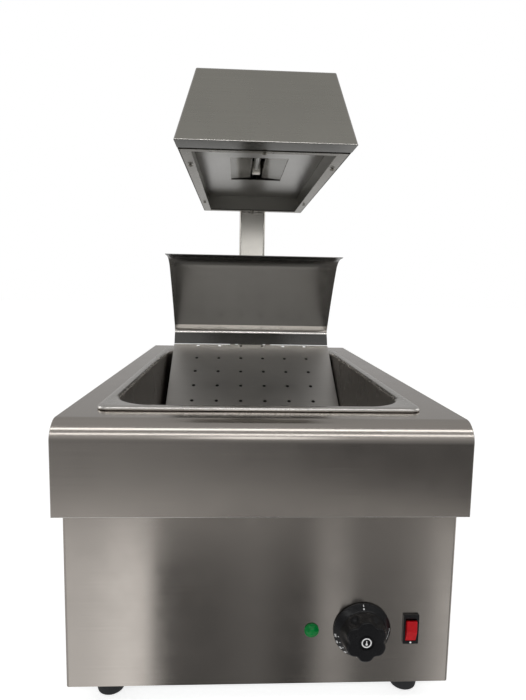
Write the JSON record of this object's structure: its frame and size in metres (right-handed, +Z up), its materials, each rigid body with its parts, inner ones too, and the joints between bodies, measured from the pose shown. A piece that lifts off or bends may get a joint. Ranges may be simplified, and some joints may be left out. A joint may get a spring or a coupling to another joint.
{
  "type": "countertop chip and fries warmer",
  "caption": "Steel countertop food warmer: cabinet with lift-out pan, perforated ramp and curved splash guard under a heat lamp hood on a rear post.",
  "frame": {"origin": "on the table, at the middle of the whole outline seen from above", "axes": "+Z up, -Y towards the person who serves and the controls, +X to that person's right"},
  "size_m": [0.39, 0.6446, 0.638],
  "materials": {
    "brushed_steel": "fine-grained brushed stainless steel",
    "polished_steel": "bright polished stainless sheet",
    "galvanised_steel": "dull aluminised steel sheet",
    "zinc_screws": "zinc-plated steel",
    "rubber": "matte black rubber",
    "black_plastic": "black moulded plastic, low sheen",
    "white_print": "white print and light plastic",
    "red_lens": "translucent red plastic",
    "green_lens": "translucent green faceted lens",
    "ceramic": "unglazed white ceramic",
    "quartz": "clear quartz tube",
    "element_sheath": "heat-tinted steel sheath",
    "brass": "copper-brass capillary bulb"
  },
  "bodies": {
    "cabinet": {"body_wrap": "brushed_steel", "bottom_plate": "galvanised_steel", "cable_gland": "black_plastic", "ceiling_plate": "polished_steel", "countertop": "brushed_steel", "foot_front_left": "rubber", "foot_front_right": "rubber", "foot_rear_left": "rubber", "foot_rear_right": "rubber", "foot_screw_front_left": "zinc_screws", "foot_screw_front_right": "zinc_screws", "foot_screw_rear_left": "zinc_screws", "foot_screw_rear_right": "zinc_screws", "frame_screw_1": "zinc_screws", "frame_screw_2": "zinc_screws", "frame_screw_3": "zinc_screws", "frame_screw_4": "zinc_screws", "frame_screw_5": "zinc_screws", "frame_screw_6": "zinc_screws", "heat_tray": "galvanised_steel", "heating_element": "element_sheath", "hood_bolt_1": "zinc_screws", "hood_bolt_2": "zinc_screws", "hood_bolt_3": "zinc_screws", "hood_bolt_4": "zinc_screws", "hood_frame": "brushed_steel", "hood_mount_plate": "brushed_steel", "hood_shell": "brushed_steel", "indicator_body": "black_plastic", "indicator_lens": "green_lens", "lamp_holder_front": "ceramic", "lamp_holder_rear": "ceramic", "lamp_lead": "rubber", "lamp_reflector": "polished_steel", "post": "brushed_steel", "post_base": "brushed_steel", "post_bolt_1": "zinc_screws", "post_bolt_2": "zinc_screws", "post_bolt_3": "zinc_screws", "post_bolt_4": "zinc_screws", "post_cap": "black_plastic", "quartz_lamp": "quartz", "rear_panel": "brushed_steel", "rear_panel_screw_1": "zinc_screws", "rear_panel_screw_2": "zinc_screws", "rear_panel_screw_3": "zinc_screws", "rear_panel_screw_4": "zinc_screws", "sensor_bulb": "brass", "switch_housing": "black_plastic", "terminal_block": "white_print", "thermostat_body": "ceramic", "tray_bracket_left": "galvanised_steel", "tray_bracket_right": "galvanised_steel"},
    "knob": {"control_knob": "black_plastic", "knob_cap": "white_print", "thermostat_shaft": "zinc_screws"},
    "rocker": {"switch_rocker": "red_lens"},
    "pan": {"food_pan": "brushed_steel"},
    "insert": {"ramp_insert": "brushed_steel", "splash_guard": "brushed_steel"}
  },
  "joints": [
    {"name": "knob_turn", "type": "hinge", "parent": "cabinet", "child": "knob", "pos_m": [0.1, -0.3011, 0.077], "axis": [0, 1, 0], "range_deg": [0, 270]},
    {"name": "rocker_tilt", "type": "hinge", "parent": "cabinet", "child": "rocker", "pos_m": [0.149, -0.3021, 0.077], "axis": [1, 0, 0], "range_deg": [-16, 0]},
    {"name": "pan_lift", "type": "slide", "parent": "cabinet", "child": "pan", "axis": [0, 0, 1], "range_m": [0, 0.04]},
    {"name": "insert_lift", "type": "slide", "parent": "pan", "child": "insert", "axis": [0, 0, 1], "range_m": [0, 0.045]}
  ]
}
